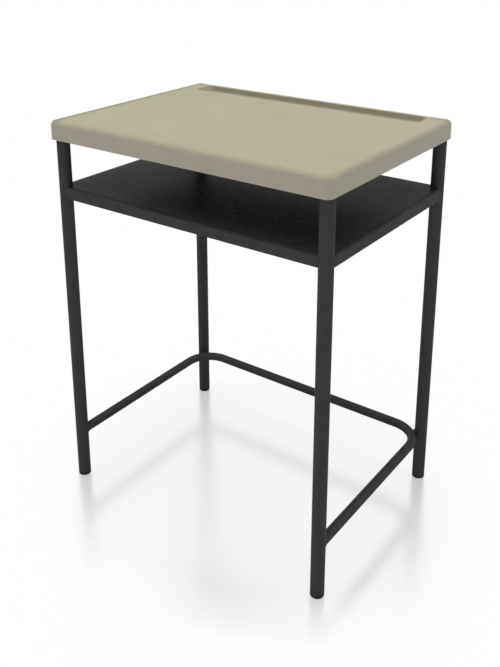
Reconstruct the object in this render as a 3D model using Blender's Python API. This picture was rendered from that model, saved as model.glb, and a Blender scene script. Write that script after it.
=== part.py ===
"""Study desk: a moulded plastic top on a welded frame of steel tube, with a book shelf and a foot rail.

Metres, +Z up. +X runs along the desk's width and -Y is the side where one sits.
The origin lies on the floor, under the middle of the top.
"""

import math

import bmesh
import bpy
from mathutils import Vector

# Whole desk
DESK_HEIGHT = 0.760
TOP_WIDTH = 0.600
TOP_DEPTH = 0.440

# Gap that is left between pieces that touch
FIT_GAP = 0.0003

# Moulded top
SKIRT_HEIGHT = 0.036
SKIRT_WALL = 0.0025
PLATE_THICKNESS = 0.004
CORNER_RADIUS = 0.012
EDGE_FILLET = 0.010
RIM_ROUND = 0.001
RIB_THICKNESS = 0.0025
RIBS_ACROSS_WIDTH = (-0.150, 0.0, 0.150)
RIBS_ACROSS_DEPTH = (-0.060, 0.060)
BOSS_DIAMETER = 0.010

# Pencil groove in the top
GROOVE_LENGTH = 0.520
GROOVE_WIDTH = 0.0535
GROOVE_DEPTH = 0.012
GROOVE_CORNER = 0.014
GROOVE_REAR_LIP = 0.0035
GROOVE_EDGE_ROUND = 0.002
GROOVE_FLOOR_ROUND = 0.004
GROOVE_SIDE_SLOPE = math.radians(80)
GROOVE_END_SLOPE = math.radians(45)
GROOVE_WALL = 0.003

# Legs and their plastic feet
LEG_DIAMETER = 0.025
LEG_WALL = 0.0015
LEG_GAP_TO_SIDE = 0.0004
LEG_GAP_TO_FRONT = 0.005
FOOT_HEIGHT = 0.006
FOOT_EDGE_ROUND = 0.002
FOOT_PLUG_LENGTH = 0.020

# Rails under the top and the tabs that carry its screws
RAIL_HEIGHT = 0.018
RAIL_WIDTH = 0.015
RAIL_WALL = 0.0012
FRAME_CLEARANCE = 0.001
TAB_WIDTH = 0.030
TAB_REACH = 0.024
TAB_THICKNESS = 0.002
TAB_CORNER = 0.004
SIDE_TABS_Y = (-0.110, 0.110)
FRONT_TABS_X = (-0.110, 0.110)

# Screws of the top
SCREW_DIAMETER = 0.004
SCREW_BITE = 0.006
SCREW_HEAD_DIAMETER = 0.008
SCREW_HEAD_HEIGHT = 0.0024
SCREW_CROSS_LENGTH = 0.0044
SCREW_CROSS_WIDTH = 0.0009
SCREW_CROSS_DEPTH = 0.0012

# Book shelf
BOOK_SPACE = 0.092
SHELF_FLANGE = 0.022
SHELF_SHEET = 0.0012
SHELF_BEND = 0.006
SHELF_SETBACK_SIDE = 0.001
SHELF_SETBACK_FRONT = 0.0025

# Foot rail
FOOT_RAIL_DIAMETER = 0.018
FOOT_RAIL_WALL = 0.0012
FOOT_RAIL_HEIGHT = 0.101
FOOT_RAIL_SETBACK = 0.0035

# Facets
LEG_SIDES = 32
RAIL_SIDES = 16
SCREW_SIDES = 12
CORNER_STEPS = 6
FILLET_STEPS = 6
ROUND_STEPS = 3
SMALL_STEPS = 2
BEND_STEPS = 8
SMOOTH_ANGLE = math.radians(32)

# Finishes: colour, roughness, metallic
TOP_FINISH = ("beige_plastic", (0.480, 0.450, 0.325, 1.0), 0.45, 0.0)
FRAME_FINISH = ("black_powder_coat", (0.056, 0.056, 0.056, 1.0), 0.45, 0.0)
FOOT_FINISH = ("black_plastic", (0.022, 0.022, 0.022, 1.0), 0.55, 0.0)
SCREW_FINISH = ("zinc_plate", (0.550, 0.550, 0.540, 1.0), 0.35, 1.0)

# Places that follow from the sizes above
LEG_RADIUS = LEG_DIAMETER / 2
SKIRT_BOTTOM = DESK_HEIGHT - SKIRT_HEIGHT
PLATE_UNDERSIDE = DESK_HEIGHT - PLATE_THICKNESS
INNER_FILLET = EDGE_FILLET - SKIRT_WALL
INNER_CORNER = CORNER_RADIUS - SKIRT_WALL
TROUGH_BOTTOM = DESK_HEIGHT - GROOVE_DEPTH - GROOVE_WALL
FRAME_TOP = min(PLATE_UNDERSIDE - INNER_FILLET, TROUGH_BOTTOM) - FRAME_CLEARANCE
RIB_BOTTOM = FRAME_TOP + FIT_GAP
CORNER_SHIFT = max(0.0, INNER_CORNER - LEG_RADIUS - LEG_GAP_TO_SIDE) * (1 - math.sqrt(0.5))
LEG_X = TOP_WIDTH / 2 - SKIRT_WALL - LEG_GAP_TO_SIDE - LEG_RADIUS - CORNER_SHIFT
LEG_Y = TOP_DEPTH / 2 - SKIRT_WALL - LEG_GAP_TO_FRONT - LEG_RADIUS - CORNER_SHIFT
LEG_BOTTOM = FOOT_HEIGHT + FIT_GAP
SHELF_TOP = SKIRT_BOTTOM - BOOK_SPACE
GROOVE_Y = TOP_DEPTH / 2 - EDGE_FILLET - GROOVE_REAR_LIP - GROOVE_WIDTH / 2
SIDES = {"left": -1, "right": 1}
ENDS = {"front": -1, "rear": 1}


def rounded_outline(half_x, half_y, radius, z, centre_y=0.0, steps=CORNER_STEPS):
    """Anticlockwise rectangle with round corners, as points at height z."""
    radius = max(radius, FIT_GAP)
    points = []
    for quarter, (sx, sy) in enumerate(((1, 1), (-1, 1), (-1, -1), (1, -1))):
        for step in range(steps + 1):
            angle = (quarter + step / steps) * math.pi / 2
            x = sx * (half_x - radius) + radius * math.cos(angle)
            y = sy * (half_y - radius) + radius * math.sin(angle)
            points.append(Vector((x, y + centre_y, z)))
    return points


def circle(radius, z, sides):
    """Anticlockwise circle round the Z axis."""
    turns = [2 * math.pi * i / sides for i in range(sides)]
    return [Vector((radius * math.cos(a), radius * math.sin(a), z)) for a in turns]


def box_outline(x0, x1, y0, y1, z):
    return [Vector(p) for p in ((x0, y0, z), (x1, y0, z), (x1, y1, z), (x0, y1, z))]


def arc_steps(steps, start=0.0, end=math.pi / 2):
    """Angles along an arc, both ends included."""
    return [start + (end - start) * i / steps for i in range(steps + 1)]


def new_object(name, mesh, location=(0, 0, 0)):
    made = bpy.data.objects.new(name, mesh)
    made.location = location
    bpy.context.scene.collection.objects.link(made)
    return made


def loft(name, rings, location=(0, 0, 0), ring_closed=False):
    """Skin a list of rings with quads. The ends get caps, unless the last ring joins the first again."""
    bm = bmesh.new()
    made = [[bm.verts.new(p) for p in ring] for ring in rings]
    count = len(rings[0])
    pairs = list(zip(made, made[1:]))
    if ring_closed:
        pairs.append((made[-1], made[0]))
    else:
        bm.faces.new(made[0])
        bm.faces.new(reversed(made[-1]))
    for upper, lower in pairs:
        for i in range(count):
            j = (i + 1) % count
            bm.faces.new((upper[i], lower[i], lower[j], upper[j]))
    bmesh.ops.recalc_face_normals(bm, faces=bm.faces)
    mesh = bpy.data.meshes.new(name)
    bm.to_mesh(mesh)
    bm.free()
    return new_object(name, mesh, location)


def combine(target, tool, operation):
    """Join a tool to the target, or cut the target with it, and drop the tool."""
    boolean = target.modifiers.new(operation.lower(), "BOOLEAN")
    boolean.operation = operation
    boolean.solver = "EXACT"
    boolean.object = tool
    bpy.context.view_layer.update()
    evaluated = target.evaluated_get(bpy.context.evaluated_depsgraph_get())
    mesh = bpy.data.meshes.new_from_object(evaluated)
    target.modifiers.remove(boolean)
    old = target.data
    target.data = mesh
    bpy.data.meshes.remove(old)
    bpy.data.meshes.remove(tool.data)


def material(finish):
    name, colour, roughness, metallic = finish
    made = bpy.data.materials.new(name)
    made.use_nodes = True
    shader = made.node_tree.nodes["Principled BSDF"]
    shader.inputs["Base Color"].default_value = colour
    shader.inputs["Roughness"].default_value = roughness
    shader.inputs["Metallic"].default_value = metallic
    return made


def dress(piece, finish, parent):
    """Give a finished piece its material, its smooth shading and its parent."""
    piece.data.materials.clear()
    piece.data.materials.append(material(finish))
    piece.data.shade_smooth()
    piece.data.set_sharp_from_angle(angle=SMOOTH_ANGLE)
    piece.parent = parent


def leg_cutter(sx, sy, bottom, top):
    """The space that a leg takes, with the gap left round it."""
    radius = LEG_RADIUS + FIT_GAP
    rings = [circle(radius, z, LEG_SIDES) for z in (top, bottom)]
    return loft("leg_cutter", rings, (sx * LEG_X, sy * LEG_Y, 0))


# Moulded top


def top_ring(inset, z):
    """Outline of the top, drawn in by an inset."""
    return rounded_outline(TOP_WIDTH / 2 - inset, TOP_DEPTH / 2 - inset, CORNER_RADIUS - inset, z)


def top_shell():
    """Plate and skirt in one wall: over the fillet, down the skirt, round the rim and up the inside."""
    rings = []
    for a in arc_steps(FILLET_STEPS):
        inset = EDGE_FILLET * (1 - math.sin(a))
        rings.append(top_ring(inset, DESK_HEIGHT - EDGE_FILLET * (1 - math.cos(a))))
    for a in arc_steps(SMALL_STEPS):
        rings.append(top_ring(RIM_ROUND * (1 - math.cos(a)), SKIRT_BOTTOM + RIM_ROUND * (1 - math.sin(a))))
    rings.append(top_ring(SKIRT_WALL, SKIRT_BOTTOM))
    for a in arc_steps(FILLET_STEPS):
        inset = SKIRT_WALL + INNER_FILLET * (1 - math.cos(a))
        rings.append(top_ring(inset, PLATE_UNDERSIDE - INNER_FILLET * (1 - math.sin(a))))
    return loft("desktop", rings)


def groove_depths():
    """Depths of the rings that shape the groove's rounded edge and the round at its floor."""
    turns = arc_steps(ROUND_STEPS, 0, GROOVE_SIDE_SLOPE)
    edge = [GROOVE_EDGE_ROUND * (1 - math.cos(a)) for a in turns]
    floor = [GROOVE_DEPTH - GROOVE_FLOOR_ROUND * (1 - math.cos(a)) for a in reversed(turns)]
    return edge + floor


def groove_inset(depth, slope):
    """How far a groove wall of one slope has come in from the groove's edge, at a depth below the top."""
    flattest = math.cos(slope)
    edge_end = GROOVE_EDGE_ROUND * (1 - flattest)
    floor_start = GROOVE_DEPTH - GROOVE_FLOOR_ROUND * (1 - flattest)
    straight = min(max(depth, edge_end), floor_start) - edge_end
    edge_turn = math.acos(max(1 - depth / GROOVE_EDGE_ROUND, flattest))
    floor_turn = math.acos(max(1 - (GROOVE_DEPTH - depth) / GROOVE_FLOOR_ROUND, flattest))
    inset = GROOVE_EDGE_ROUND * math.sin(edge_turn) + straight / math.tan(slope)
    return inset + GROOVE_FLOOR_ROUND * (math.sin(slope) - math.sin(floor_turn))


def groove_ring(depth, z, margin=0.0):
    """The groove's outline as it is at a depth, drawn at height z with a margin added all round."""
    side = groove_inset(depth, GROOVE_SIDE_SLOPE) - margin
    end = groove_inset(depth, GROOVE_END_SLOPE) - margin
    half_x = GROOVE_LENGTH / 2 - end
    half_y = GROOVE_WIDTH / 2 - side
    return rounded_outline(half_x, half_y, GROOVE_CORNER - side, z, GROOVE_Y)


def groove_cutter():
    rings = [groove_ring(0, DESK_HEIGHT + GROOVE_WALL, FIT_GAP)]
    rings += [groove_ring(depth, DESK_HEIGHT - depth) for depth in groove_depths()]
    return loft("groove_cutter", rings)


def groove_trough():
    """Wall under the groove, which hangs below the plate."""
    upper = groove_ring(0, PLATE_UNDERSIDE + PLATE_THICKNESS / 2, GROOVE_WALL)
    lower = groove_ring(GROOVE_DEPTH, TROUGH_BOTTOM, GROOVE_WALL)
    return loft("groove_trough", [upper, lower])


def rib_ring(along_width, place, inset, z):
    half = RIB_THICKNESS / 2
    reach_x = TOP_WIDTH / 2 - inset
    reach_y = TOP_DEPTH / 2 - inset
    if along_width:
        return box_outline(-reach_x, reach_x, place - half, place + half, z)
    return box_outline(place - half, place + half, -reach_y, reach_y, z)


def rib(along_width, place):
    """A stiffening rib that bears on the rails. Its top and ends lie inside the wall of plate and skirt."""
    mid_wall = INNER_FILLET + SKIRT_WALL / 2
    rings = []
    for a in arc_steps(ROUND_STEPS, math.pi / 2, 0):
        inset = EDGE_FILLET - mid_wall * math.cos(a)
        z = PLATE_UNDERSIDE - INNER_FILLET + mid_wall * math.sin(a)
        rings.append(rib_ring(along_width, place, inset, z))
    rings.append(rib_ring(along_width, place, SKIRT_WALL / 2, RIB_BOTTOM))
    return loft("rib", rings)


def desktop(parent):
    shell = top_shell()
    combine(shell, groove_trough(), "UNION")
    for place in RIBS_ACROSS_DEPTH:
        combine(shell, rib(True, place), "UNION")
    for place in RIBS_ACROSS_WIDTH:
        combine(shell, rib(False, place), "UNION")
    boss_heights = (PLATE_UNDERSIDE + PLATE_THICKNESS / 2, RIB_BOTTOM)
    hole_heights = (FRAME_TOP + SCREW_BITE + FIT_GAP, FRAME_TOP)
    hole_radius = SCREW_DIAMETER / 2 + FIT_GAP
    for name, x, y, turn in fixing_places():
        sx, sy = screw_place(x, y, turn)
        boss = [circle(BOSS_DIAMETER / 2, z, SCREW_SIDES) for z in boss_heights]
        combine(shell, loft("boss", boss, (sx, sy, 0)), "UNION")
        hole = [circle(hole_radius, z, SCREW_SIDES) for z in hole_heights]
        combine(shell, loft("hole", hole, (sx, sy, 0)), "DIFFERENCE")
    combine(shell, groove_cutter(), "DIFFERENCE")
    dress(shell, TOP_FINISH, parent)


# Legs and feet


def tube_rings(outer, inner, bottom, top):
    """Rings round the wall of an upright tube, from its top edge down the outside and up the bore."""
    return [
        circle(outer, top, LEG_SIDES),
        circle(outer, bottom, LEG_SIDES),
        circle(inner, bottom, LEG_SIDES),
        circle(inner, top, LEG_SIDES),
    ]


def legs(parent):
    rings = tube_rings(LEG_RADIUS, LEG_RADIUS - LEG_WALL, LEG_BOTTOM, FRAME_TOP)
    for end, sy in ENDS.items():
        for side, sx in SIDES.items():
            leg = loft(f"leg_{end}_{side}", rings, (sx * LEG_X, sy * LEG_Y, 0), ring_closed=True)
            dress(leg, FRAME_FINISH, parent)


def feet(parent):
    """Plastic plugs: a round base as wide as the leg, and a stem that fits its bore."""
    stem = LEG_RADIUS - LEG_WALL - FIT_GAP
    rings = [circle(stem, FOOT_HEIGHT + FOOT_PLUG_LENGTH, LEG_SIDES)]
    rings.append(circle(stem, FOOT_HEIGHT, LEG_SIDES))
    rings.append(circle(LEG_RADIUS, FOOT_HEIGHT, LEG_SIDES))
    for a in arc_steps(SMALL_STEPS):
        radius = LEG_RADIUS - FOOT_EDGE_ROUND * (1 - math.cos(a))
        rings.append(circle(radius, FOOT_EDGE_ROUND * (1 - math.sin(a)), LEG_SIDES))
    for end, sy in ENDS.items():
        for side, sx in SIDES.items():
            foot = loft(f"foot_{end}_{side}", rings, (sx * LEG_X, sy * LEG_Y, 0))
            dress(foot, FOOT_FINISH, parent)


# Rails, tabs and screws under the top


def rail_ring(inset, along_x, place):
    """Upright rectangle across a rail, drawn in by an inset."""
    half = RAIL_WIDTH / 2 - inset
    low = FRAME_TOP - RAIL_HEIGHT + inset
    high = FRAME_TOP - inset
    corners = ((-half, low), (half, low), (half, high), (-half, high))
    if along_x:
        return [Vector((place, across, z)) for across, z in corners]
    return [Vector((across, place, z)) for across, z in corners]


def top_rail(name, along_x, sign, parent):
    """Rectangular tube between two legs, with its ends shaped to them."""
    reach = LEG_X if along_x else LEG_Y
    outer = [rail_ring(0, along_x, p) for p in (-reach, reach)]
    bore = [rail_ring(RAIL_WALL, along_x, p) for p in (reach, -reach)]
    place = (0, sign * LEG_Y, 0) if along_x else (sign * LEG_X, 0, 0)
    rail = loft(name, outer + bore, place, ring_closed=True)
    heights = (FRAME_TOP - 2 * RAIL_HEIGHT, FRAME_TOP + RAIL_HEIGHT)
    for end in (-1, 1):
        sx, sy = (end, sign) if along_x else (sign, end)
        combine(rail, leg_cutter(sx, sy, *heights), "DIFFERENCE")
    dress(rail, FRAME_FINISH, parent)


def top_rails(parent):
    for end, sy in ENDS.items():
        top_rail(f"top_rail_{end}", True, sy, parent)
    for side, sx in SIDES.items():
        top_rail(f"top_rail_{side}", False, sx, parent)


def fixing_places():
    """Name, foot point on the rail's inner face and inward turn of each tab."""
    inner_x = LEG_X - RAIL_WIDTH / 2
    inner_y = LEG_Y - RAIL_WIDTH / 2
    places = []
    for side, sx in SIDES.items():
        for end, y in zip(ENDS, SIDE_TABS_Y):
            places.append((f"{side}_{end}", sx * inner_x, y, math.pi if sx > 0 else 0.0))
    for side, x in zip(SIDES, FRONT_TABS_X):
        places.append((f"front_{side}", x, -inner_y, math.pi / 2))
    return places


def screw_place(x, y, turn):
    """Point on the floor plan where a tab's screw stands."""
    return x + TAB_REACH / 2 * math.cos(turn), y + TAB_REACH / 2 * math.sin(turn)


def tabs(parent):
    """Flat tabs that stand out from the rails, flush with their upper faces."""
    half_reach = (TAB_REACH - FIT_GAP) / 2
    middle = FIT_GAP + half_reach
    rings = []
    for z in (FRAME_TOP, FRAME_TOP - TAB_THICKNESS):
        rings.append(rounded_outline(half_reach, TAB_WIDTH / 2, TAB_CORNER, z, steps=SMALL_STEPS))
    hole_heights = (FRAME_TOP + TAB_THICKNESS, FRAME_TOP - 2 * TAB_THICKNESS)
    hole_rings = [circle(SCREW_DIAMETER / 2 + FIT_GAP, z, SCREW_SIDES) for z in hole_heights]
    for name, x, y, turn in fixing_places():
        place = (x + middle * math.cos(turn), y + middle * math.sin(turn), 0)
        tab = loft(f"fixing_tab_{name}", rings, place)
        tab.rotation_euler.z = turn
        combine(tab, loft("hole", hole_rings, (*screw_place(x, y, turn), 0)), "DIFFERENCE")
        dress(tab, FRAME_FINISH, parent)


def screws(parent):
    """Pan head screws, driven upwards through the tabs."""
    seat = FRAME_TOP - TAB_THICKNESS - FIT_GAP
    head_bottom = seat - SCREW_HEAD_HEIGHT
    head_radius = SCREW_HEAD_DIAMETER / 2
    head_edge = SCREW_HEAD_HEIGHT / 2
    shank = SCREW_DIAMETER / 2
    rings = [circle(shank, FRAME_TOP + SCREW_BITE, SCREW_SIDES), circle(shank, seat, SCREW_SIDES)]
    rings.append(circle(head_radius, seat, SCREW_SIDES))
    for a in arc_steps(SMALL_STEPS):
        radius = head_radius - head_edge * (1 - math.cos(a))
        rings.append(circle(radius, head_bottom + head_edge * (1 - math.sin(a)), SCREW_SIDES))
    slot_heights = (head_bottom + SCREW_CROSS_DEPTH, head_bottom - SCREW_CROSS_DEPTH)
    half_long = SCREW_CROSS_LENGTH / 2
    half_wide = SCREW_CROSS_WIDTH / 2
    for name, x, y, turn in fixing_places():
        place = (*screw_place(x, y, turn), 0)
        screw = loft(f"top_screw_{name}", rings, place)
        for half_x, half_y in ((half_long, half_wide), (half_wide, half_long)):
            slot = [box_outline(-half_x, half_x, -half_y, half_y, z) for z in slot_heights]
            combine(screw, loft("slot", slot, place), "DIFFERENCE")
        dress(screw, SCREW_FINISH, parent)


# Book shelf


def shelf_ring(inset, z):
    """Outline of the shelf, a little inside the outer faces of the legs, with corners inside the legs."""
    over_side = LEG_RADIUS - SHELF_SETBACK_SIDE - inset
    over_front = LEG_RADIUS - SHELF_SETBACK_FRONT - inset
    corner = min(over_side, over_front)
    return rounded_outline(LEG_X + over_side, LEG_Y + over_front, corner, z, steps=SMALL_STEPS)


def book_shelf(parent):
    """Folded sheet: flat top, rounded bends and flanges that hang down, notched round the legs."""
    rings = []
    for a in arc_steps(ROUND_STEPS):
        inset = SHELF_BEND * (1 - math.sin(a))
        rings.append(shelf_ring(inset, SHELF_TOP - SHELF_BEND * (1 - math.cos(a))))
    bottom = SHELF_TOP - SHELF_FLANGE
    rings.append(shelf_ring(0, bottom))
    rings.append(shelf_ring(SHELF_SHEET, bottom))
    inner_bend = SHELF_BEND - SHELF_SHEET
    for a in arc_steps(ROUND_STEPS):
        inset = SHELF_BEND - inner_bend * math.cos(a)
        rings.append(shelf_ring(inset, SHELF_TOP - SHELF_BEND + inner_bend * math.sin(a)))
    shelf = loft("book_shelf", rings)
    for sy in ENDS.values():
        for sx in SIDES.values():
            combine(shelf, leg_cutter(sx, sy, bottom - LEG_RADIUS, SHELF_TOP + LEG_RADIUS), "DIFFERENCE")
    dress(shelf, FRAME_FINISH, parent)


# Foot rail


def foot_rail_path():
    """Point and direction of travel along the rail's centre line, from the left front leg to the right."""
    to_leg = LEG_RADIUS + FOOT_RAIL_DIAMETER / 2 + FIT_GAP
    past_leg = to_leg + FOOT_RAIL_SETBACK
    bend = past_leg + math.sqrt(2 * to_leg * past_leg)
    rear_y = LEG_Y + FOOT_RAIL_SETBACK
    path = [(-LEG_X, -LEG_Y, math.pi / 2)]
    for a in arc_steps(BEND_STEPS):
        x = -LEG_X + bend * (1 - math.cos(a))
        path.append((x, rear_y - bend * (1 - math.sin(a)), math.pi / 2 - a))
    for a in arc_steps(BEND_STEPS):
        x = LEG_X - bend * (1 - math.sin(a))
        path.append((x, rear_y - bend * (1 - math.cos(a)), -a))
    path.append((LEG_X, -LEG_Y, -math.pi / 2))
    return path


def foot_rail_ring(x, y, heading, radius):
    """Circle across the rail, square to its direction of travel."""
    centre = Vector((x, y, FOOT_RAIL_HEIGHT))
    across = Vector((-math.sin(heading), math.cos(heading), 0))
    up = Vector((0, 0, 1))
    return [centre + across * p.x + up * p.y for p in circle(radius, 0, RAIL_SIDES)]


def foot_rail(parent):
    """One tube bent to a U. Its ends are shaped to the front legs and its bends touch the rear legs."""
    outer = FOOT_RAIL_DIAMETER / 2
    path = foot_rail_path()
    rings = [foot_rail_ring(*station, outer) for station in path]
    rings += [foot_rail_ring(*station, outer - FOOT_RAIL_WALL) for station in reversed(path)]
    rail = loft("foot_rail", rings, ring_closed=True)
    heights = (FOOT_RAIL_HEIGHT - FOOT_RAIL_DIAMETER, FOOT_RAIL_HEIGHT + FOOT_RAIL_DIAMETER)
    for sx in SIDES.values():
        combine(rail, leg_cutter(sx, -1, *heights), "DIFFERENCE")
    dress(rail, FRAME_FINISH, parent)


def main():
    for old in list(bpy.data.objects):
        bpy.data.objects.remove(old)
    desk = bpy.data.objects.new("study_desk", None)
    bpy.context.scene.collection.objects.link(desk)
    desktop(desk)
    legs(desk)
    feet(desk)
    top_rails(desk)
    tabs(desk)
    screws(desk)
    book_shelf(desk)
    foot_rail(desk)


main()
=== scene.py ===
"""Study desk: the looks of its moulded top, its coated steel frame, its plastic feet and its zinc screws.

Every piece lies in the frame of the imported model, in metres: +Z up, -Y the side where one sits.
"""

import math

import bmesh
import bpy
from mathutils import Matrix, Vector

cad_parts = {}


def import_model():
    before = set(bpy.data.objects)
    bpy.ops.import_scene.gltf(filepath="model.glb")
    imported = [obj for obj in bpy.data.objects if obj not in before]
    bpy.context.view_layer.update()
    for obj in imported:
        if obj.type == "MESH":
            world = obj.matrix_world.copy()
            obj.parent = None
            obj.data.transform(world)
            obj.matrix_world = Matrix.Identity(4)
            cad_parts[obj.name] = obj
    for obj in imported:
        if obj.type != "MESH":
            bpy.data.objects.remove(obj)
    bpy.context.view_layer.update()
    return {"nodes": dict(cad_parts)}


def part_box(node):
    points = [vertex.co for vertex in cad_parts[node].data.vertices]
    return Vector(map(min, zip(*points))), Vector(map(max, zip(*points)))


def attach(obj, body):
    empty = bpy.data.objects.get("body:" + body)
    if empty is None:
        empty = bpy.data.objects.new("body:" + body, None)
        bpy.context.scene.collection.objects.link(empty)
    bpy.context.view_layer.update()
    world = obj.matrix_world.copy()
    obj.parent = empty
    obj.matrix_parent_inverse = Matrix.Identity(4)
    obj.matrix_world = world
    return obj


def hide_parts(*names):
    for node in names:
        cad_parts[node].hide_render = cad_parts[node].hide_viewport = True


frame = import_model()

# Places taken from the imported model
TOP_LOW, TOP_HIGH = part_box("desktop")
LEG_LOW, LEG_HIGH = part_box("leg_rear_right")
SHELF_LOW, SHELF_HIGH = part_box("book_shelf")
RAIL_LOW, RAIL_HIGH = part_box("foot_rail")
DESK_HEIGHT = TOP_HIGH.z
SKIRT_BOTTOM = TOP_LOW.z
LEG_X = (LEG_LOW.x + LEG_HIGH.x) / 2
LEG_Y = (LEG_LOW.y + LEG_HIGH.y) / 2
LEG_RADIUS = (LEG_HIGH.x - LEG_LOW.x) / 2
LEG_BOTTOM = LEG_LOW.z
FRAME_TOP = LEG_HIGH.z
FOOT_RAIL_Z = (RAIL_LOW.z + RAIL_HIGH.z) / 2
FOOT_RAIL_RADIUS = (RAIL_HIGH.z - RAIL_LOW.z) / 2

# Sizes repeated from the part's source
FIT_GAP = 0.0003
SKIRT_WALL = 0.0025
PLATE_THICKNESS = 0.004
CORNER_RADIUS = 0.012
EDGE_FILLET = 0.010
RIM_ROUND = 0.001
RIB_THICKNESS = 0.0025
RIBS_ACROSS_WIDTH = (-0.150, 0.0, 0.150)
RIBS_ACROSS_DEPTH = (-0.060, 0.060)
BOSS_DIAMETER = 0.010
GROOVE_LENGTH = 0.520
GROOVE_WIDTH = 0.0535
GROOVE_DEPTH = 0.012
GROOVE_CORNER = 0.014
GROOVE_REAR_LIP = 0.0035
GROOVE_EDGE_ROUND = 0.002
GROOVE_FLOOR_ROUND = 0.004
GROOVE_SIDE_SLOPE = math.radians(80)
GROOVE_END_SLOPE = math.radians(45)
GROOVE_WALL = 0.003
LEG_WALL = 0.0015
FOOT_EDGE_ROUND = 0.002
FOOT_PLUG_LENGTH = 0.020
SHELF_SHEET = 0.0012
SHELF_BEND = 0.006
FOOT_RAIL_WALL = 0.0012
FOOT_RAIL_SETBACK = 0.0035
SCREW_DIAMETER = 0.004
SCREW_BITE = 0.006

# Sizes of the finer forms
LEAST_CORNER = 0.0003
TUBE_END_EASE = 0.0003
FRONT_WELD_RADIUS = 0.0014
FRONT_WELD_PROUD = 0.0004
REAR_WELD_RADIUS = 0.0017
REAR_WELD_LENGTH = 0.013
REAR_WELD_PROUD = 0.0010
REAR_WELD_RISE = 0.0062
REAR_WELD_WRAP = 0.7
SHELF_WELD_RADIUS = 0.001
SHELF_WELD_SINK = 0.0003
WELD_NARROW = 0.94
WELD_WIDE = 1.04
WELD_PASS = 3
WELD_END_LEAST = 0.06
WELD_END_POWER = 6

# Places of the painted shade and of the wear
GROOVE_SHADE_CLEAR = 0.0015
GROOVE_SHADE_BELOW = 0.0005
GROOVE_SHADE_SOFT = 0.0012
RIM_SHADE_WIDTH = 0.018
RIM_SHADE_UNEVEN = 0.003
SCUFF_LOW = 0.008
SCUFF_HIGH = 0.055
GROUND_LOW = 0.0002
GROUND_HIGH = 0.0022

# Painted light on the shelf's bends along two axes, paler towards the open ends: where it is full and
# where it ends
SHELF_BEND_LIGHT_ENDS = (("X", -0.130, -0.060), ("Y", 0.035, -0.045))

# How strongly wear and painted light change the gloss and the coat
RUB_POLISH = 0.12
SCRATCH_DULLING = 0.05
WEAR_DULLING = 0.12
LEVEL_POLISH = 0.13
EDGE_WEAR_LEAST = 0.3
SHELF_BEND_LIGHT = 0.62

# Colours in linear red, green and blue
BEIGE_DEEP = (0.449, 0.422, 0.291)
BEIGE_PALE = (0.471, 0.442, 0.309)
# Painted light: upright faces paler and less yellow than level ones
BEIGE_UPRIGHT_LIT = (0.488, 0.443, 0.368)
BEIGE_SPECK = (0.430, 0.405, 0.285)
BEIGE_RUBBED = (0.500, 0.475, 0.345)
# Painted shade in the groove
GROOVE_SHADE = (0.430, 0.407, 0.300)
# Painted shade along the left and rear rim of the top
RIM_SHADE = (0.305, 0.286, 0.207)
COAT_DEEP = (0.060, 0.060, 0.060)
COAT_PALE = (0.067, 0.067, 0.067)
# Painted shade on level faces of the coat
COAT_LEVEL_SHADE = (0.036, 0.036, 0.036)
# Coat rubbed pale at edges and scuffed low down, and painted light on the shelf's bends towards its open
# ends
COAT_WORN_AND_LIT = (0.085, 0.084, 0.082)
FOOT_DEEP = (0.020, 0.020, 0.020)
FOOT_PALE = (0.026, 0.026, 0.026)
FOOT_DUST = (0.060, 0.058, 0.054)
ZINC_GREY = (0.56, 0.56, 0.55)
ZINC_STRAW = (0.62, 0.59, 0.50)
WHITE = (1.0, 1.0, 1.0)
FLOOR_DIM = (0.94, 0.94, 0.94)

# Floor and light
FLOOR_HALF = 40.0
FLOOR_DROP = 0.0003
FLOOR_ROUGHNESS = 0.24
FLOOR_SHEEN = 0.60
FLOOR_SQUEEZE = (2.4, 2.8, 0.0)
FLOOR_SHIFT = (0.0, -0.05, 0.0)
FLOOR_FADE_FROM = 0.90
FLOOR_FADE_TO = 1.20
FLOOR_WHITE_NEAR = 0.47
FLOOR_WHITE_FAR = 0.96
DOME_BRIGHTEST = (-0.13, 0.03, 0.99)
DOME_POWER = 4.0
DOME_LEAST = 0.06
DOME_MOST = 2.83

# Camera of the photograph, with its image in pixels
IMAGE_WIDTH = 500
IMAGE_HEIGHT = 667
FOCAL = 854.97
CENTRE_X = 244.35
CENTRE_Y = 169.67
CAMERA_PLACE = (0.89162, -1.23616, 1.12962)
CAMERA_HEADING = math.radians(36.26)
CAMERA_TILT = math.radians(90 - 16.99)
CAMERA_ROLL = math.radians(-0.138)
SENSOR_WIDTH = 36.0

# Fineness of the round forms
TUBE_SIDES = 64
RAIL_SIDES = 48
SMALL_SIDES = 32
CORNER_STEPS = 16
FILLET_STEPS = 14
ROUND_STEPS = 6
BEND_STEPS = 28
WELD_SIDES = 12
FRONT_WELD_STEPS = 42
REAR_WELD_STEPS = 18
SHELF_WELD_STEPS = 24
SMOOTH_ANGLE = math.radians(30)

# Sockets of a colour mix, which share their names with others of that node
MIX_FIRST = 6
MIX_SECOND = 7
MIX_RESULT = 2

# Sizes and places worked out from these
PLATE_UNDERSIDE = DESK_HEIGHT - PLATE_THICKNESS
INNER_FILLET = EDGE_FILLET - SKIRT_WALL
RIB_BOTTOM = FRAME_TOP + FIT_GAP
TROUGH_BOTTOM = DESK_HEIGHT - GROOVE_DEPTH - GROOVE_WALL
GROOVE_Y = TOP_HIGH.y - EDGE_FILLET - GROOVE_REAR_LIP - GROOVE_WIDTH / 2
SIDES = {"left": -1, "right": 1}
ENDS = {"front": -1, "rear": 1}
LEVELS = {"upper": 1, "lower": -1}


# Mesh making


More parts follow.
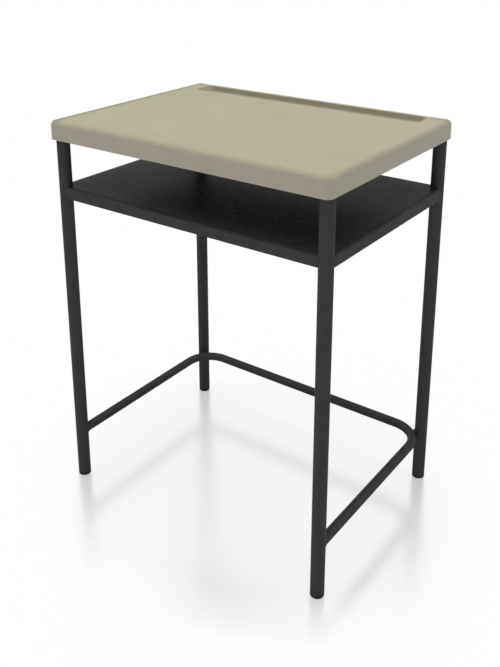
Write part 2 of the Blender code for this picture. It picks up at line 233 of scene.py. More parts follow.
def rounded_outline(half_x, half_y, radius, z, centre_y=0.0):
    """Anticlockwise rectangle with round corners, as points at height z."""
    radius = max(radius, LEAST_CORNER)
    points = []
    for quarter, (sx, sy) in enumerate(((1, 1), (-1, 1), (-1, -1), (1, -1))):
        for step in range(CORNER_STEPS + 1):
            angle = (quarter + step / CORNER_STEPS) * math.pi / 2
            x = sx * (half_x - radius) + radius * math.cos(angle)
            y = sy * (half_y - radius) + radius * math.sin(angle)
            points.append(Vector((x, y + centre_y, z)))
    return points


def full_turn(sides):
    return [2 * math.pi * i / sides for i in range(sides)]


def circle(radius, z, sides=TUBE_SIDES, centre=(0, 0)):
    points = []
    for a in full_turn(sides):
        points.append(Vector((centre[0] + radius * math.cos(a), centre[1] + radius * math.sin(a), z)))
    return points


def box_outline(x0, x1, y0, y1, z):
    return [Vector(p) for p in ((x0, y0, z), (x1, y0, z), (x1, y1, z), (x0, y1, z))]


def arc_steps(steps, start=0.0, end=math.pi / 2):
    return [start + (end - start) * i / steps for i in range(steps + 1)]


def loft(name, rings, ring_closed=False):
    """Skin a list of rings with quads. The ends get caps, unless the last ring joins the first again."""
    bm = bmesh.new()
    made = [[bm.verts.new(p) for p in ring] for ring in rings]
    count = len(rings[0])
    pairs = list(zip(made, made[1:]))
    if ring_closed:
        pairs.append((made[-1], made[0]))
    else:
        bm.faces.new(made[0])
        bm.faces.new(reversed(made[-1]))
    for upper, lower in pairs:
        for i in range(count):
            j = (i + 1) % count
            bm.faces.new((upper[i], lower[i], lower[j], upper[j]))
    bmesh.ops.recalc_face_normals(bm, faces=bm.faces)
    mesh = bpy.data.meshes.new(name)
    bm.to_mesh(mesh)
    bm.free()
    piece = bpy.data.objects.new(name, mesh)
    bpy.context.scene.collection.objects.link(piece)
    return piece


def combine(target, tool, operation):
    """Join a tool to the target, or cut the target with it, and drop the tool."""
    boolean = target.modifiers.new(operation.lower(), "BOOLEAN")
    boolean.operation = operation
    boolean.solver = "EXACT"
    boolean.object = tool
    bpy.context.view_layer.update()
    evaluated = target.evaluated_get(bpy.context.evaluated_depsgraph_get())
    mesh = bpy.data.meshes.new_from_object(evaluated)
    target.modifiers.remove(boolean)
    old = target.data
    target.data = mesh
    bpy.data.meshes.remove(old)
    bpy.data.meshes.remove(tool.data)


def dress(piece, finish, slot, *nodes):
    """Give a piece its material and smooth shading, and let it stand for the nodes that are named."""
    piece.data.materials.clear()
    piece.data.materials.append(finish)
    piece.data.shade_smooth()
    piece.data.set_sharp_from_angle(angle=SMOOTH_ANGLE)
    even = piece.modifiers.new("even_normals", "WEIGHTED_NORMAL")
    even.keep_sharp = True
    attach(piece, "root")
    if nodes:
        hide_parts(*nodes)


# Node making


def add_node(tree, kind, inputs, **settings):
    """A node with its settings and inputs. An input is a value, or another node's output to link."""
    made = tree.nodes.new(kind)
    for name, value in settings.items():
        setattr(made, name, value)
    for socket, value in inputs.items():
        if isinstance(value, bpy.types.NodeSocket):
            tree.links.new(value, made.inputs[socket])
        else:
            made.inputs[socket].default_value = value
    return made


def opaque(colour):
    return (*colour, 1.0)


class Nodes:
    """A material's node tree, with short ways to make and join its nodes."""

    def __init__(self, name):
        self.material = bpy.data.materials.new(name)
        self.material.use_nodes = True
        self.tree = self.material.node_tree
        self.shader = self.tree.nodes["Principled BSDF"]
        self.place = self.add("ShaderNodeTexCoord", {})

    def add(self, kind, inputs, **settings):
        return add_node(self.tree, kind, inputs, **settings)

    def noise(self, scale, detail, roughness=0.5, stretch=None):
        """Noise in the piece's own metres, so that a scale of 1000 gives grains of about a millimetre."""
        source = self.place.outputs["Object"]
        if stretch:
            source = self.add("ShaderNodeMapping", {"Vector": source, "Scale": stretch}).outputs["Vector"]
        inputs = {"Vector": source, "Scale": scale, "Detail": detail, "Roughness": roughness}
        return self.add("ShaderNodeTexNoise", inputs).outputs["Fac"]

    def span(self, source, from_low, from_high, to_low=0.0, to_high=1.0):
        """Map a value from one range to another, held at both ends."""
        inputs = {"Value": source, "From Min": from_low, "From Max": from_high}
        inputs.update({"To Min": to_low, "To Max": to_high})
        return self.add("ShaderNodeMapRange", inputs).outputs["Result"]

    def fade(self, source, full, none, most=1.0):
        """The most at the full end of a range and nothing at the other end, held at both ends."""
        return self.span(source, full, none, most, 0.0)

    def patches(self, scale, detail, start, full, least=0.0, most=1.0, roughness=0.5, stretch=None):
        """Noise in patches: the least below the start value, and the most above the full one."""
        return self.span(self.noise(scale, detail, roughness, stretch), start, full, least, most)

    def grain(self, scale, detail, strength, depth, stretch=None):
        """A bump layer of noise, with its depth in metres."""
        return (self.noise(scale, detail, stretch=stretch), strength, depth)

    def math(self, operation, first, second=0.0):
        return self.add("ShaderNodeMath", {0: first, 1: second}, operation=operation).outputs[0]

    def mix(self, factor, first, second):
        """Colour between two, by a factor."""
        inputs = {"Factor": factor}
        for socket, colour in ((MIX_FIRST, first), (MIX_SECOND, second)):
            inputs[socket] = opaque(colour) if isinstance(colour, tuple) else colour
        return self.add("ShaderNodeMix", inputs, data_type="RGBA").outputs[MIX_RESULT]

    def parts(self, place):
        return self.add("ShaderNodeSeparateXYZ", {0: self.place.outputs[place]}).outputs

    def along(self, axis):
        """Place along one axis of the frame, in metres."""
        return self.parts("Object")[axis]

    def facing_up(self):
        """1 on level faces that look up, 0 on upright ones."""
        return self.parts("Normal")["Z"]

    def inside(self, low, high, soft):
        """1 inside a box given by two corners, fading out over a soft margin."""
        parts = self.parts("Object")
        mask = None
        for axis, start, end in zip("XYZ", low, high):
            rise = self.span(parts[axis], start - soft, start)
            fall = self.fade(parts[axis], end, end + soft)
            both = self.math("MULTIPLY", rise, fall)
            mask = self.math("MULTIPLY", mask, both) if mask else both
        return mask

    def bend_zone(self, low, high, rise=0.15, fall=0.10):
        """1 where a face leans between level and upright, as on a rounded edge."""
        up = self.facing_up()
        above = self.span(up, low, low + rise)
        below = self.fade(up, high - fall, high)
        return self.math("MULTIPLY", above, below)

    def bump(self, *layers):
        """Lay bump layers one on the other, and link the last one to the shader."""
        last = None
        for source, strength, depth in layers:
            inputs = {"Strength": strength, "Distance": depth, "Height": source}
            if last:
                inputs["Normal"] = last
            last = self.add("ShaderNodeBump", inputs).outputs["Normal"]
        self.tree.links.new(last, self.shader.inputs["Normal"])

    def finish(self, colour, roughness, specular, metallic=0.0):
        self.tree.links.new(colour, self.shader.inputs["Base Color"])
        self.tree.links.new(roughness, self.shader.inputs["Roughness"])
        self.shader.inputs["Specular IOR Level"].default_value = specular
        self.shader.inputs["Metallic"].default_value = metallic
        return self.material


# Materials


def groove_shade_mask(n):
    """Painted shade in patches on the floor and walls of the groove."""
    half_x = GROOVE_LENGTH / 2
    half_y = GROOVE_WIDTH / 2
    low = (-half_x, GROOVE_Y - half_y, DESK_HEIGHT - GROOVE_DEPTH - GROOVE_SHADE_BELOW)
    high = (half_x, GROOVE_Y + half_y, DESK_HEIGHT - GROOVE_SHADE_CLEAR)
    patches = n.patches(scale=45, detail=4, start=0.3, full=0.7, least=0.7)
    return n.math("MULTIPLY", n.inside(low, high, GROOVE_SHADE_SOFT), patches)


def rim_shade_mask(n):
    """Painted shade on a rim with an uneven edge, on the left of the flat top and at the rear beside the
    groove.
    """
    shift = {"least": -RIM_SHADE_UNEVEN, "most": RIM_SHADE_UNEVEN}
    uneven = n.patches(scale=40, detail=3, start=0.3, full=0.7, **shift)
    flat_left = -TOP_HIGH.x + EDGE_FILLET
    flat_rear = TOP_HIGH.y - EDGE_FILLET
    groove_end = GROOVE_LENGTH / 2
    left = n.fade(n.math("ADD", n.along("X"), uneven), flat_left, flat_left + RIM_SHADE_WIDTH)
    rear = n.span(n.math("ADD", n.along("Y"), uneven), flat_rear - RIM_SHADE_WIDTH, flat_rear)
    beside = n.span(n.math("ABSOLUTE", n.along("X")), groove_end, groove_end + RIM_SHADE_WIDTH)
    rim = n.math("MAXIMUM", left, n.math("MULTIPLY", rear, beside))
    return n.math("MULTIPLY", rim, n.span(n.facing_up(), from_low=0.60, from_high=0.90))


def top_plastic():
    """Beige moulded plastic with a fine matt grain, faint mottling and polished edges, painted light on
    its upright faces, and painted shade in the groove and along the left and rear rim.
    """
    n = Nodes("top_plastic")
    mottle = n.patches(scale=7, detail=3, start=0.35, full=0.65)
    # Painted light: upright faces paler than level ones
    upright = n.fade(n.facing_up(), full=0.1, none=0.9)
    speck = n.patches(scale=900, detail=1, start=0.60, full=0.72, most=0.35)
    rub = n.patches(scale=35, detail=4, start=0.40, full=0.65, most=0.6)
    rubbed = n.math("MULTIPLY", n.bend_zone(low=0.25, high=0.97), rub)
    colour = n.mix(mottle, BEIGE_DEEP, BEIGE_PALE)
    colour = n.mix(upright, colour, BEIGE_UPRIGHT_LIT)
    colour = n.mix(speck, colour, BEIGE_SPECK)
    colour = n.mix(rubbed, colour, BEIGE_RUBBED)
    # Painted shade in the groove
    colour = n.mix(groove_shade_mask(n), colour, GROOVE_SHADE)
    # Painted shade along the left and rear rim of the top
    colour = n.mix(rim_shade_mask(n), colour, RIM_SHADE)
    lines = {"roughness": 0.6, "stretch": (1.0, 0.06, 1.0)}
    scratch = n.patches(scale=60, detail=4, start=0.62, full=0.72, **lines)
    smear = n.patches(scale=18, detail=5, start=0.3, full=0.7, least=0.46, most=0.58, roughness=0.6)
    roughness = n.math("SUBTRACT", smear, n.math("MULTIPLY", rubbed, RUB_POLISH))
    roughness = n.math("ADD", roughness, n.math("MULTIPLY", scratch, SCRATCH_DULLING))
    fine = n.grain(scale=1700, detail=2, strength=0.10, depth=0.00015)
    broad = n.grain(scale=9, detail=1, strength=0.05, depth=0.0010)
    n.bump(fine, broad)
    return n.finish(colour, roughness, specular=0.10)


def frame_coat(name, dark_from, dark_to, edge_wear, rubbed=()):
    """Black powder coat with a fine orange peel, painted shade on level faces, scuffed at edges and low
    down, and painted light over bends that fades out along the axes given in rubbed.
    """
    n = Nodes(name)
    tone = n.patches(scale=28, detail=4, start=0.3, full=0.7)
    # Painted shade: level faces darker
    level = n.span(n.facing_up(), dark_from, dark_to)
    wear = {"least": EDGE_WEAR_LEAST * edge_wear, "most": edge_wear}
    rub = n.patches(scale=110, detail=5, start=0.40, full=0.70, **wear)
    edge = n.math("MULTIPLY", n.bend_zone(low=0.20, high=0.95), rub)
    # Painted light: bends paler towards the ends given in rubbed
    for axis, full, none in rubbed:
        part = n.fade(n.along(axis), full, none, SHELF_BEND_LIGHT)
        edge = n.math("MAXIMUM", edge, n.math("MULTIPLY", n.bend_zone(low=0.20, high=1.0), part))
    near_floor = n.fade(n.along("Z"), SCUFF_LOW, SCUFF_HIGH)
    upright = {"roughness": 0.6, "stretch": (1.0, 1.0, 0.35)}
    streaks = n.patches(scale=160, detail=5, start=0.55, full=0.68, most=0.6, **upright)
    scuff = n.math("MULTIPLY", near_floor, streaks)
    worn_and_lit = n.math("MAXIMUM", edge, scuff)
    colour = n.mix(tone, COAT_DEEP, COAT_PALE)
    colour = n.mix(level, colour, COAT_LEVEL_SHADE)
    colour = n.mix(worn_and_lit, colour, COAT_WORN_AND_LIT)
    roughness = n.patches(scale=55, detail=4, start=0.3, full=0.7, least=0.37, most=0.43)
    roughness = n.math("ADD", roughness, n.math("MULTIPLY", worn_and_lit, WEAR_DULLING))
    roughness = n.math("SUBTRACT", roughness, n.math("MULTIPLY", level, LEVEL_POLISH))
    n.bump(n.grain(scale=1300, detail=2, strength=0.05, depth=0.0001))
    return n.finish(colour, roughness, specular=0.013)


def foot_plastic():
    """Black moulded plastic, a shade deeper than the coat, ground dull where it stands."""
    n = Nodes("foot_plastic")
    tone = n.patches(scale=90, detail=4, start=0.3, full=0.7)
    ground = n.fade(n.along("Z"), GROUND_LOW, GROUND_HIGH)
    uneven = n.patches(scale=400, detail=4, start=0.4, full=0.7, least=0.1, most=0.7)
    dust = n.math("MULTIPLY", ground, uneven)
    colour = n.mix(tone, FOOT_DEEP, FOOT_PALE)
    colour = n.mix(dust, colour, FOOT_DUST)
    roughness = n.patches(scale=220, detail=3, start=0.3, full=0.7, least=0.45, most=0.60)
    n.bump(n.grain(scale=1500, detail=2, strength=0.15, depth=0.0002))
    return n.finish(colour, roughness, specular=0.10)


def screw_zinc():
    """Bright zinc plating with a faint straw tint and fine turning marks."""
    n = Nodes("screw_zinc")
    tint = n.patches(scale=350, detail=3, start=0.35, full=0.65)
    colour = n.mix(tint, ZINC_GREY, ZINC_STRAW)
    roughness = n.patches(scale=900, detail=3, start=0.3, full=0.7, least=0.26, most=0.42)
    n.bump(n.grain(scale=2600, detail=2, strength=0.12, depth=0.0001, stretch=(1.0, 1.0, 4.0)))
    return n.finish(colour, roughness, specular=0.5, metallic=1.0)


PLASTIC = top_plastic()
COAT = frame_coat("frame_coat", dark_from=0.985, dark_to=0.9995, edge_wear=0.7)
# Shelf coat with painted shade on its level top and painted light on its bends towards the open ends
SHELF_COAT = frame_coat("shelf_coat", dark_from=0.15, dark_to=0.60, edge_wear=0.15, rubbed=SHELF_BEND_LIGHT_ENDS)
FOOT = foot_plastic()
ZINC = screw_zinc()


# Moulded top


def top_ring(inset, z):
    return rounded_outline(TOP_HIGH.x - inset, TOP_HIGH.y - inset, CORNER_RADIUS - inset, z)


def top_shell():
    """Plate and skirt in one wall: over the fillet, down the skirt, round the rim and up the inside."""
    rings = []
    for a in arc_steps(FILLET_STEPS):
        inset = EDGE_FILLET * (1 - math.sin(a))
        rings.append(top_ring(inset, DESK_HEIGHT - EDGE_FILLET * (1 - math.cos(a))))
    for a in arc_steps(ROUND_STEPS):
        inset = RIM_ROUND * (1 - math.cos(a))
        rings.append(top_ring(inset, SKIRT_BOTTOM + RIM_ROUND * (1 - math.sin(a))))
    for a in arc_steps(ROUND_STEPS):
        inset = SKIRT_WALL - RIM_ROUND * (1 - math.sin(a))
        rings.append(top_ring(inset, SKIRT_BOTTOM + RIM_ROUND * (1 - math.cos(a))))
    for a in arc_steps(FILLET_STEPS):
        inset = SKIRT_WALL + INNER_FILLET * (1 - math.cos(a))
        rings.append(top_ring(inset, PLATE_UNDERSIDE - INNER_FILLET * (1 - math.sin(a))))
    return loft("moulded_top", rings)


def groove_depths():
    """Depths of the rings that shape the groove's rounded edge and the round at its floor."""
    turns = arc_steps(ROUND_STEPS, 0, GROOVE_SIDE_SLOPE)
    edge = [GROOVE_EDGE_ROUND * (1 - math.cos(a)) for a in turns]
    base = [GROOVE_DEPTH - GROOVE_FLOOR_ROUND * (1 - math.cos(a)) for a in reversed(turns)]
    return edge + base


def groove_inset(depth, slope):
    """How far a groove wall of one slope has come in from the groove's edge, at a depth below it."""
    flattest = math.cos(slope)
    edge_end = GROOVE_EDGE_ROUND * (1 - flattest)
    floor_start = GROOVE_DEPTH - GROOVE_FLOOR_ROUND * (1 - flattest)
    straight = min(max(depth, edge_end), floor_start) - edge_end
    edge_turn = math.acos(max(1 - depth / GROOVE_EDGE_ROUND, flattest))
    floor_turn = math.acos(max(1 - (GROOVE_DEPTH - depth) / GROOVE_FLOOR_ROUND, flattest))
    inset = GROOVE_EDGE_ROUND * math.sin(edge_turn) + straight / math.tan(slope)
    return inset + GROOVE_FLOOR_ROUND * (math.sin(slope) - math.sin(floor_turn))


def groove_ring(depth, z, margin=0.0):
    """The groove's outline as it is at a depth, drawn at height z with a margin added all round."""
    side = groove_inset(depth, GROOVE_SIDE_SLOPE) - margin
    end = groove_inset(depth, GROOVE_END_SLOPE) - margin
    half_x = GROOVE_LENGTH / 2 - end
    half_y = GROOVE_WIDTH / 2 - side
    return rounded_outline(half_x, half_y, GROOVE_CORNER - side, z, GROOVE_Y)


def rib(along_width, place):
    """A stiffening rib whose top and ends lie inside the wall of plate and skirt."""
    half = RIB_THICKNESS / 2
    mid_wall = INNER_FILLET + SKIRT_WALL / 2
    levels = []
    for a in arc_steps(ROUND_STEPS, math.pi / 2, 0):
        z = PLATE_UNDERSIDE - INNER_FILLET + mid_wall * math.sin(a)
        levels.append((EDGE_FILLET - mid_wall * math.cos(a), z))
    levels.append((SKIRT_WALL / 2, RIB_BOTTOM))
    rings = []
    for inset, z in levels:
        reach_x = TOP_HIGH.x - inset
        reach_y = TOP_HIGH.y - inset
        if along_width:
            rings.append(box_outline(-reach_x, reach_x, place - half, place + half, z))
        else:
            rings.append(box_outline(place - half, place + half, -reach_y, reach_y, z))
    return loft("rib", rings)


def screw_centres():
    """Middle of each screw, seen from above."""
    centres = []
    for name in sorted(frame["nodes"]):
        if name.startswith("top_screw_"):
            low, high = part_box(name)
            centres.append(((low.x + high.x) / 2, (low.y + high.y) / 2))
    return centres


def moulded_top():
    """Shell with its trough, ribs and screw bosses, and with the groove cut in last."""
    shell = top_shell()
    in_plate = PLATE_UNDERSIDE + PLATE_THICKNESS / 2
    upper = groove_ring(0, in_plate, GROOVE_WALL)
    lower = groove_ring(GROOVE_DEPTH, TROUGH_BOTTOM, GROOVE_WALL)
    combine(shell, loft("trough", [upper, lower]), "UNION")
    for place in RIBS_ACROSS_DEPTH:
        combine(shell, rib(True, place), "UNION")
    for place in RIBS_ACROSS_WIDTH:
        combine(shell, rib(False, place), "UNION")
    hole_top = FRAME_TOP + SCREW_BITE + FIT_GAP
    hole_radius = SCREW_DIAMETER / 2 + FIT_GAP
    for centre in screw_centres():
        boss = [circle(BOSS_DIAMETER / 2, z, SMALL_SIDES, centre) for z in (in_plate, RIB_BOTTOM)]
        combine(shell, loft("boss", boss), "UNION")
        hole = [circle(hole_radius, z, SMALL_SIDES, centre) for z in (hole_top, FRAME_TOP)]
        combine(shell, loft("hole", hole), "DIFFERENCE")
    rings = [groove_ring(0, DESK_HEIGHT + GROOVE_WALL, FIT_GAP)]
    rings += [groove_ring(depth, DESK_HEIGHT - depth) for depth in groove_depths()]
    combine(shell, loft("groove", rings), "DIFFERENCE")
    dress(shell, PLASTIC, "top_plastic", "desktop")


# Legs and feet


def leg_centre(sx, sy):
    return (sx * LEG_X, sy * LEG_Y)


def legs_and_feet():
    """Tubes with slightly eased ends, and the plugs that they stand on."""
    eased = LEG_RADIUS - TUBE_END_EASE
    bore = LEG_RADIUS - LEG_WALL
    tube = [
        (eased, FRAME_TOP),
        (LEG_RADIUS, FRAME_TOP - TUBE_END_EASE),
        (LEG_RADIUS, LEG_BOTTOM + TUBE_END_EASE),
        (eased, LEG_BOTTOM),
        (bore, LEG_BOTTOM),
        (bore, FRAME_TOP),
    ]
    foot_top = LEG_BOTTOM - FIT_GAP
    plug = [
        (bore - FIT_GAP, foot_top + FOOT_PLUG_LENGTH),
        (bore - FIT_GAP, foot_top),
        (eased, foot_top),
        (LEG_RADIUS, foot_top - TUBE_END_EASE),
    ]
    for a in arc_steps(ROUND_STEPS):
        radius = LEG_RADIUS - FOOT_EDGE_ROUND * (1 - math.cos(a))
        plug.append((radius, FOOT_EDGE_ROUND * (1 - math.sin(a))))
    for end, sy in ENDS.items():
        for side, sx in SIDES.items():
            centre = leg_centre(sx, sy)
            leg = loft(f"tube_leg_{end}_{side}", [circle(r, z, centre=centre) for r, z in tube], True)
            dress(leg, COAT, "frame_coat", f"leg_{end}_{side}")
            foot = loft(f"plastic_foot_{end}_{side}", [circle(r, z, centre=centre) for r, z in plug])
            dress(foot, FOOT, "foot_plastic", f"foot_{end}_{side}")


def leg_cutter(sx, sy, bottom, top):
    centre = leg_centre(sx, sy)
    return loft("leg_cutter", [circle(LEG_RADIUS + FIT_GAP, z, centre=centre) for z in (top, bottom)])


# Book shelf


def shelf_ring(inset, z):
    """Outline of the shelf, a little inside the outer faces of the legs, with its corners in the legs."""
    corner = min(SHELF_HIGH.x - LEG_X, SHELF_HIGH.y - LEG_Y) - inset
    return rounded_outline(SHELF_HIGH.x - inset, SHELF_HIGH.y - inset, corner, z)


def sheet_shelf():
    """Folded sheet: flat top, rounded bends and flanges that hang down, notched round the legs."""
    top = SHELF_HIGH.z
    bottom = SHELF_LOW.z
    rings = []
    for a in arc_steps(FILLET_STEPS):
        rings.append(shelf_ring(SHELF_BEND * (1 - math.sin(a)), top - SHELF_BEND * (1 - math.cos(a))))
    rings.append(shelf_ring(0, bottom))
    rings.append(shelf_ring(SHELF_SHEET, bottom))
    inner = SHELF_BEND - SHELF_SHEET
    for a in arc_steps(FILLET_STEPS):
        z = top - SHELF_BEND + inner * math.sin(a)
        rings.append(shelf_ring(SHELF_BEND - inner * math.cos(a), z))
    shelf = loft("sheet_shelf", rings)
    for sy in ENDS.values():
        for sx in SIDES.values():
            combine(shelf, leg_cutter(sx, sy, bottom - LEG_RADIUS, top + LEG_RADIUS), "DIFFERENCE")
    dress(shelf, SHELF_COAT, "frame_coat", "book_shelf")


# Foot rail


def foot_rail_bend():
    """Radius at which the bends of the rail just touch the rear legs."""
    to_leg = LEG_RADIUS + FOOT_RAIL_RADIUS + FIT_GAP
    past_leg = to_leg + FOOT_RAIL_SETBACK
    return past_leg + math.sqrt(2 * to_leg * past_leg)


def foot_rail_path():
    """Point and heading along the rail's centre line, from the left front leg to the right one."""
    bend = foot_rail_bend()
    rear_y = LEG_Y + FOOT_RAIL_SETBACK
    path = [(-LEG_X, -LEG_Y, math.pi / 2)]
    for a in arc_steps(BEND_STEPS):
        x = -LEG_X + bend * (1 - math.cos(a))
        path.append((x, rear_y - bend * (1 - math.sin(a)), math.pi / 2 - a))
    for a in arc_steps(BEND_STEPS):
        x = LEG_X - bend * (1 - math.sin(a))
        path.append((x, rear_y - bend * (1 - math.cos(a)), -a))
    path.append((LEG_X, -LEG_Y, -math.pi / 2))
    return path


def foot_rail_ring(x, y, heading, radius):
    centre = Vector((x, y, FOOT_RAIL_Z))
    across = Vector((-math.sin(heading), math.cos(heading), 0))
    return [centre + across * p.x + Vector((0, 0, p.y)) for p in circle(radius, 0, RAIL_SIDES)]


def bent_rail():
    """One tube bent to a U. Its ends are shaped to the front legs and its bends touch the rear legs."""
    path = foot_rail_path()
    rings = [foot_rail_ring(*station, FOOT_RAIL_RADIUS) for station in path]
    rings += [foot_rail_ring(*station, FOOT_RAIL_RADIUS - FOOT_RAIL_WALL) for station in reversed(path)]
    rail = loft("bent_foot_rail", rings, True)
    heights = (RAIL_LOW.z - FOOT_RAIL_RADIUS, RAIL_HIGH.z + FOOT_RAIL_RADIUS)
    for sx in SIDES.values():
        combine(rail, leg_cutter(sx, -1, *heights), "DIFFERENCE")
    dress(rail, COAT, "frame_coat", "foot_rail")


# Weld beads


def bead(name, points, radius, looped=False):
    """A coated weld bead along points, with the ripples of its passes and soft ends."""
    count = len(points)
    rings = []
    for i, point in enumerate(points):
        ahead = points[(i + 1) % count] if looped else points[min(i + 1, count - 1)]
        behind = points[i - 1] if looped else points[max(i - 1, 0)]
        along = (ahead - behind).normalized()
        if rings:
            side = (side - along * side.dot(along)).normalized()
        else:
            side = along.orthogonal().normalized()
        other = along.cross(side)
        size = radius * (WELD_NARROW if i % WELD_PASS == 0 else WELD_WIDE)
        if not looped:
            from_middle = 2 * (i + 0.5) / count - 1
            size *= math.sqrt(max(WELD_END_LEAST, 1 - from_middle ** WELD_END_POWER))
        turns = full_turn(WELD_SIDES)
        rings.append([point + (side * math.cos(t) + other * math.sin(t)) * size for t in turns])
    dress(loft(name, rings, looped), COAT, "frame_coat")


def front_rail_weld(sx):
    """Points all round the rail, where its end meets a front leg."""
    points = []
    for t in full_turn(FRONT_WELD_STEPS):
        x = FOOT_RAIL_RADIUS * math.cos(t)
        y = -LEG_Y + math.sqrt(LEG_RADIUS ** 2 - x ** 2) + FRONT_WELD_PROUD
        points.append(Vector((sx * LEG_X + x, y, FOOT_RAIL_Z + FOOT_RAIL_RADIUS * math.sin(t))))
    return points


def rear_rail_weld(sx, sz):
    """Points along the upper or lower line where a bend of the rail touches a rear leg."""
    bend = foot_rail_bend()
    inward = Vector((-sx * bend, FOOT_RAIL_SETBACK - bend, 0)).normalized()
    along = Vector((-inward.y, inward.x, 0))
    leg = Vector((*leg_centre(sx, 1), FOOT_RAIL_Z + sz * REAR_WELD_RISE))
    middle = leg + inward * (LEG_RADIUS + REAR_WELD_PROUD)
    points = []
    for i in range(REAR_WELD_STEPS + 1):
        shift = (i / REAR_WELD_STEPS - 0.5) * REAR_WELD_LENGTH
        round_leg = LEG_RADIUS - math.sqrt(LEG_RADIUS ** 2 - shift ** 2)
        points.append(middle + along * shift - inward * round_leg * REAR_WELD_WRAP)
    return points


def shelf_weld(overhang):
    """Places up a flange and over its bend, where the sheet meets a leg: out, along and up from it."""
    bottom = SHELF_LOW.z + SHELF_WELD_RADIUS
    bend_start = SHELF_HIGH.z - SHELF_BEND
    edge = [(0.0, bottom + (bend_start - bottom) * i / SHELF_WELD_STEPS) for i in range(SHELF_WELD_STEPS)]
    for a in arc_steps(ROUND_STEPS):
        edge.append((SHELF_BEND * (1 - math.cos(a)), bend_start + SHELF_BEND * math.sin(a)))
    places = []
    for inset, z in edge:
        over = overhang - inset - SHELF_WELD_SINK
        places.append((over, math.sqrt(LEG_RADIUS ** 2 - over ** 2), z - SHELF_WELD_SINK))
    return places


def weld_beads():
    """Beads where the foot rail and the shelf join the legs."""
    past_front = shelf_weld(SHELF_HIGH.y - LEG_Y)
    past_side = shelf_weld(SHELF_HIGH.x - LEG_X)
    for side, sx in SIDES.items():
        bead(f"weld_rail_front_{side}", front_rail_weld(sx), FRONT_WELD_RADIUS, True)
        for level, sz in LEVELS.items():
            bead(f"weld_rail_rear_{side}_{level}", rear_rail_weld(sx, sz), REAR_WELD_RADIUS)
        for end, sy in ENDS.items():
            line = [Vector((sx * (LEG_X - near), sy * (LEG_Y + over), z)) for over, near, z in past_front]
            bead(f"weld_shelf_long_{end}_{side}", line, SHELF_WELD_RADIUS)
            line = [Vector((sx * (LEG_X + over), sy * (LEG_Y - near), z)) for over, near, z in past_side]
            bead(f"weld_shelf_end_{end}_{side}", line, SHELF_WELD_RADIUS)


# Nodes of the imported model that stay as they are


def dress_kept_nodes():
    """The rails, tabs and screws under the top keep their own solids and get the finer materials."""
    for name, node in frame["nodes"].items():
        if name.startswith(("top_rail_", "fixing_tab_")):
            finish = COAT
        elif name.startswith("top_screw_"):
            finish = ZINC
        else:
            continue
        node.data.materials.clear()
        node.data.materials.append(finish)


# Floor, light and camera


def white_for_view(tree):
    """1 for rays that show the background, in view, in gloss or through glass."""
    path = add_node(tree, "ShaderNodeLightPath", {})
    last = path.outputs["Is Camera Ray"]
    for name in ("Is Glossy Ray", "Is Transmission Ray"):
        inputs = {0: last, 1: path.outputs[name]}
        last = add_node(tree, "ShaderNodeMath", inputs, operation="MAXIMUM").outputs[0]
    return last


def blend_shaders(tree, factor, first, second):
    inputs = {0: factor, 1: first.outputs[0], 2: second.outputs[0]}
    return add_node(tree, "ShaderNodeMixShader", inputs)


def floor_white():
    """White with a soft sheen near the desk, for its shadow and reflection, and pure white far off."""
    made = bpy.data.materials.new("floor_white")
    made.use_nodes = True
    tree = made.node_tree
    tree.nodes.clear()
    matt = add_node(tree, "ShaderNodeBsdfDiffuse", {"Color": opaque(WHITE)})
    gloss = add_node(tree, "ShaderNodeBsdfGlossy", {"Color": opaque(WHITE), "Roughness": FLOOR_ROUGHNESS})
    sheen = blend_shaders(tree, FLOOR_SHEEN, matt, gloss)
    place = add_node(tree, "ShaderNodeTexCoord", {}).outputs["Object"]
    inputs = {0: place, 1: FLOOR_SQUEEZE, 2: FLOOR_SHIFT}
    squeeze = add_node(tree, "ShaderNodeVectorMath", inputs, operation="MULTIPLY_ADD").outputs["Vector"]
    away = add_node(tree, "ShaderNodeVectorMath", {0: squeeze}, operation="LENGTH").outputs["Value"]
    inputs = {"Value": away, "From Min": FLOOR_FADE_FROM, "From Max": FLOOR_FADE_TO}
    inputs.update({"To Min": FLOOR_WHITE_NEAR, "To Max": FLOOR_WHITE_FAR})
    fade = add_node(tree, "ShaderNodeMapRange", inputs).outputs["Result"]
    white = add_node(tree, "ShaderNodeEmission", {"Strength": 1.0})
    pale = blend_shaders(tree, fade, sheen, white)
    dim = add_node(tree, "ShaderNodeBsdfDiffuse", {"Color": opaque(FLOOR_DIM)})
    choose = blend_shaders(tree, white_for_view(tree), dim, pale)
    add_node(tree, "ShaderNodeOutputMaterial", {"Surface": choose.outputs[0]})
    return made


def floor():
    """Wide plane just below the feet."""
    mesh = bpy.data.meshes.new("floor")
    corners = [(sx * FLOOR_HALF, sy * FLOOR_HALF, 0) for sx, sy in ((-1, -1), (1, -1), (1, 1), (-1, 1))]
    mesh.from_pydata(corners, [], [(0, 1, 2, 3)])
    mesh.materials.append(floor_white())
    plane = bpy.data.objects.new("floor", mesh)
    plane.location.z = -FLOOR_DROP
    bpy.context.scene.collection.objects.link(plane)


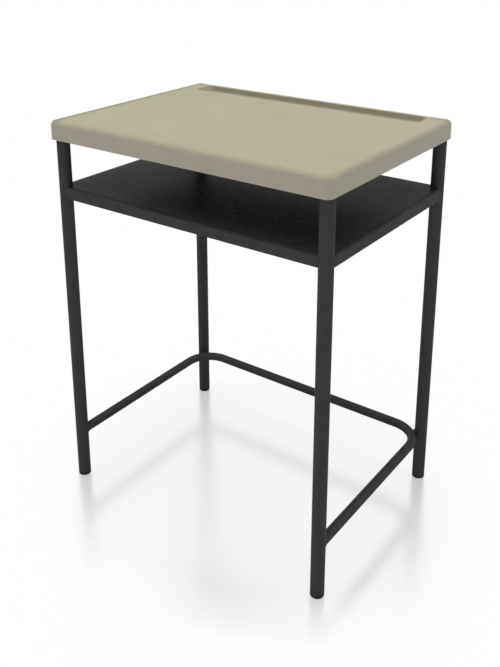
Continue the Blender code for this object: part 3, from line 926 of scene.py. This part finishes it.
def world():
    """Soft studio dome, brightest overhead and a little to the left, with a white background."""
    made = bpy.data.worlds.new("studio")
    bpy.context.scene.world = made
    made.use_nodes = True
    tree = made.node_tree
    tree.nodes.clear()
    place = add_node(tree, "ShaderNodeTexCoord", {}).outputs["Generated"]
    inputs = {0: place, 1: Vector(DOME_BRIGHTEST).normalized()}
    toward = add_node(tree, "ShaderNodeVectorMath", inputs, operation="DOT_PRODUCT").outputs["Value"]
    above = add_node(tree, "ShaderNodeMath", {0: toward, 1: 0.0}, operation="MAXIMUM").outputs[0]
    power = add_node(tree, "ShaderNodeMath", {0: above, 1: DOME_POWER}, operation="POWER").outputs[0]
    inputs = {"Value": power, "To Min": DOME_LEAST, "To Max": DOME_MOST}
    strength = add_node(tree, "ShaderNodeMapRange", inputs).outputs["Result"]
    dome = add_node(tree, "ShaderNodeBackground", {"Color": opaque(WHITE), "Strength": strength})
    white = add_node(tree, "ShaderNodeBackground", {"Color": opaque(WHITE), "Strength": 1.0})
    choose = blend_shaders(tree, white_for_view(tree), dome, white)
    add_node(tree, "ShaderNodeOutputWorld", {"Surface": choose.outputs[0]})


def camera():
    """Camera at the place of the photograph's."""
    data = bpy.data.cameras.new("camera")
    data.sensor_fit = "HORIZONTAL"
    data.sensor_width = SENSOR_WIDTH
    data.lens = FOCAL * SENSOR_WIDTH / IMAGE_WIDTH
    data.shift_x = (IMAGE_WIDTH / 2 - CENTRE_X) / IMAGE_WIDTH
    data.shift_y = (CENTRE_Y - IMAGE_HEIGHT / 2) / IMAGE_WIDTH
    made = bpy.data.objects.new("camera", data)
    heading = Matrix.Rotation(CAMERA_HEADING, 4, "Z")
    tilt = Matrix.Rotation(CAMERA_TILT, 4, "X")
    roll = Matrix.Rotation(CAMERA_ROLL, 4, "Z")
    made.matrix_world = Matrix.Translation(CAMERA_PLACE) @ heading @ tilt @ roll
    bpy.context.scene.collection.objects.link(made)
    bpy.context.scene.camera = made


moulded_top()
legs_and_feet()
sheet_shelf()
bent_rail()
weld_beads()
dress_kept_nodes()
floor()
world()
camera()
bpy.context.scene.view_settings.view_transform = "Standard"
